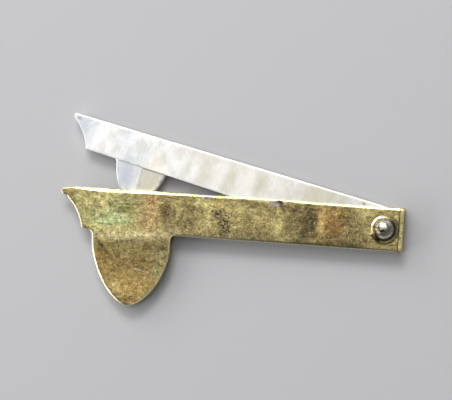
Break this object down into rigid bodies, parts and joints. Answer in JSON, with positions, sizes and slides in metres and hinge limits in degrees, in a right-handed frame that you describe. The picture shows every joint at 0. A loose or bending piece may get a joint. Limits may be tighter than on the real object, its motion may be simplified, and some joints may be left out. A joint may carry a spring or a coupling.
{
  "type": "fleam",
  "caption": "Folding bloodletting fleam: a beaked steel blade with a spade-shaped cutting lobe turns on a domed rivet between two lobed brass covers.",
  "frame": {"origin": "on the rear cover's flat outer face, on the bar's centre line, 40 mm from the pivot axis, about midway along the case", "axes": "+X along the case towards the pivot, +Y towards the case's top edge where the blade swings out, +Z out of the front cover; the fleam lies on its rear cover"},
  "size_m": [0.0888, 0.0487, 0.0072],
  "materials": {
    "cover_brass": "old brass, worn and unevenly tarnished",
    "blade_steel": "bright ground steel with a few stains",
    "washer_brass": "pale brass, burnished on its rim",
    "rivet_steel": "steel, domed and polished by handling"
  },
  "bodies": {
    "case": {"front_cover": "cover_brass", "rear_cover": "cover_brass", "head_washer": "washer_brass", "pivot_rivet": "rivet_steel"},
    "blade": {"blade": "blade_steel"}
  },
  "joints": [
    {"name": "blade_swing", "type": "hinge", "parent": "case", "child": "blade", "pos_m": [0.04, 0, 0.0023], "axis": [0, 0, -1], "range_deg": [-12.8, 42.2]}
  ]
}
